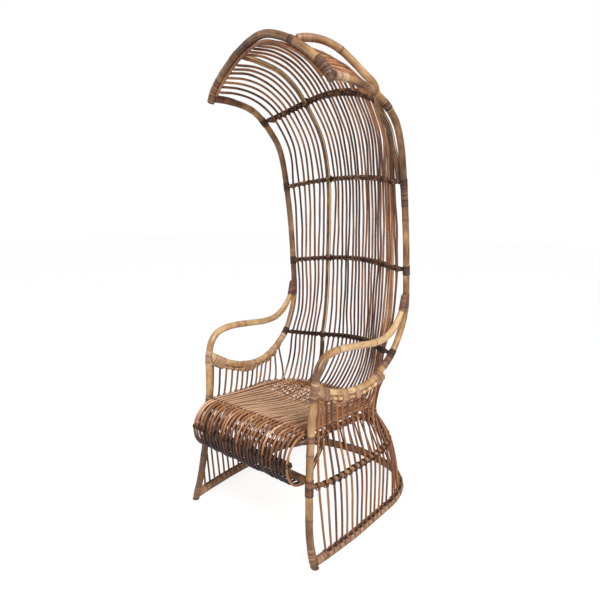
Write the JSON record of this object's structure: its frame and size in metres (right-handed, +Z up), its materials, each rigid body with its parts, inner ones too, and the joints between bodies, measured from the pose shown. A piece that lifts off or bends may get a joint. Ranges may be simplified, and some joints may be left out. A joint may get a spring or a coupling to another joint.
{
  "type": "hooded rattan armchair",
  "caption": "Porter's style rattan armchair: bent-pole frame, thin rods running from the curved hood down the back, over the seat and round its front roll, with open loop arms and a floor hoop.",
  "frame": {"origin": "on the ground, in the middle of the chair's footprint rectangle", "axes": "+Z up, -Y the way the sitter faces, +X towards the sitter's left hand"},
  "size_m": [0.6278, 0.751, 1.5841],
  "materials": {
    "pole": "peeled rattan pole, honey yellow, satin clear coat",
    "long_rod": "thin rattan rod, red-brown, satin clear coat",
    "side_rod": "thin rattan rod, orange-brown, satin clear coat",
    "lashed_rod": "rattan rail wound with dark lashings",
    "wrapped_hoop": "rattan hoop closely wrapped in split cane"
  },
  "bodies": {
    "root": {"leg_and_arm_pole_right": "pole", "side_pole_right": "pole", "leg_and_arm_pole_left": "pole", "side_pole_left": "pole", "hood_front_arch": "pole", "hood_rim_rod": "long_rod", "cross_band_top": "lashed_rod", "cross_band_upper": "lashed_rod", "cross_band_middle": "lashed_rod", "cross_band_lower": "lashed_rod", "floor_hoop": "wrapped_hoop", "floor_hoop_runner": "side_rod", "mid_hoop": "pole", "side_wall_right": "side_rod", "side_wall_left": "side_rod", "seat_hoop_and_rear_skirt": "side_rod", "seat_slat_front": "pole", "seat_slat_middle": "pole", "roll_bar": "lashed_rod", "seat_front_bow_rail": "pole", "lower_front_pole": "lashed_rod", "seat_brace_right": "pole", "seat_brace_left": "pole", "long_rod_01": "long_rod", "long_rod_02": "long_rod", "long_rod_03": "long_rod", "long_rod_04": "long_rod", "long_rod_05": "long_rod", "long_rod_06": "long_rod", "long_rod_07": "long_rod", "long_rod_08": "long_rod", "long_rod_09": "long_rod", "long_rod_10": "long_rod", "long_rod_11": "long_rod", "long_rod_12": "long_rod", "long_rod_13": "long_rod", "long_rod_14": "long_rod", "long_rod_15": "long_rod", "long_rod_16": "long_rod", "long_rod_17": "long_rod", "long_rod_18": "long_rod", "long_rod_19": "long_rod", "long_rod_20": "long_rod", "long_rod_21": "long_rod", "long_rod_22": "long_rod", "long_rod_23": "long_rod", "long_rod_24": "long_rod", "long_rod_25": "long_rod", "long_rod_26": "long_rod", "long_rod_27": "long_rod", "stile_left": "pole", "stile_right": "pole"}
  },
  "joints": []
}
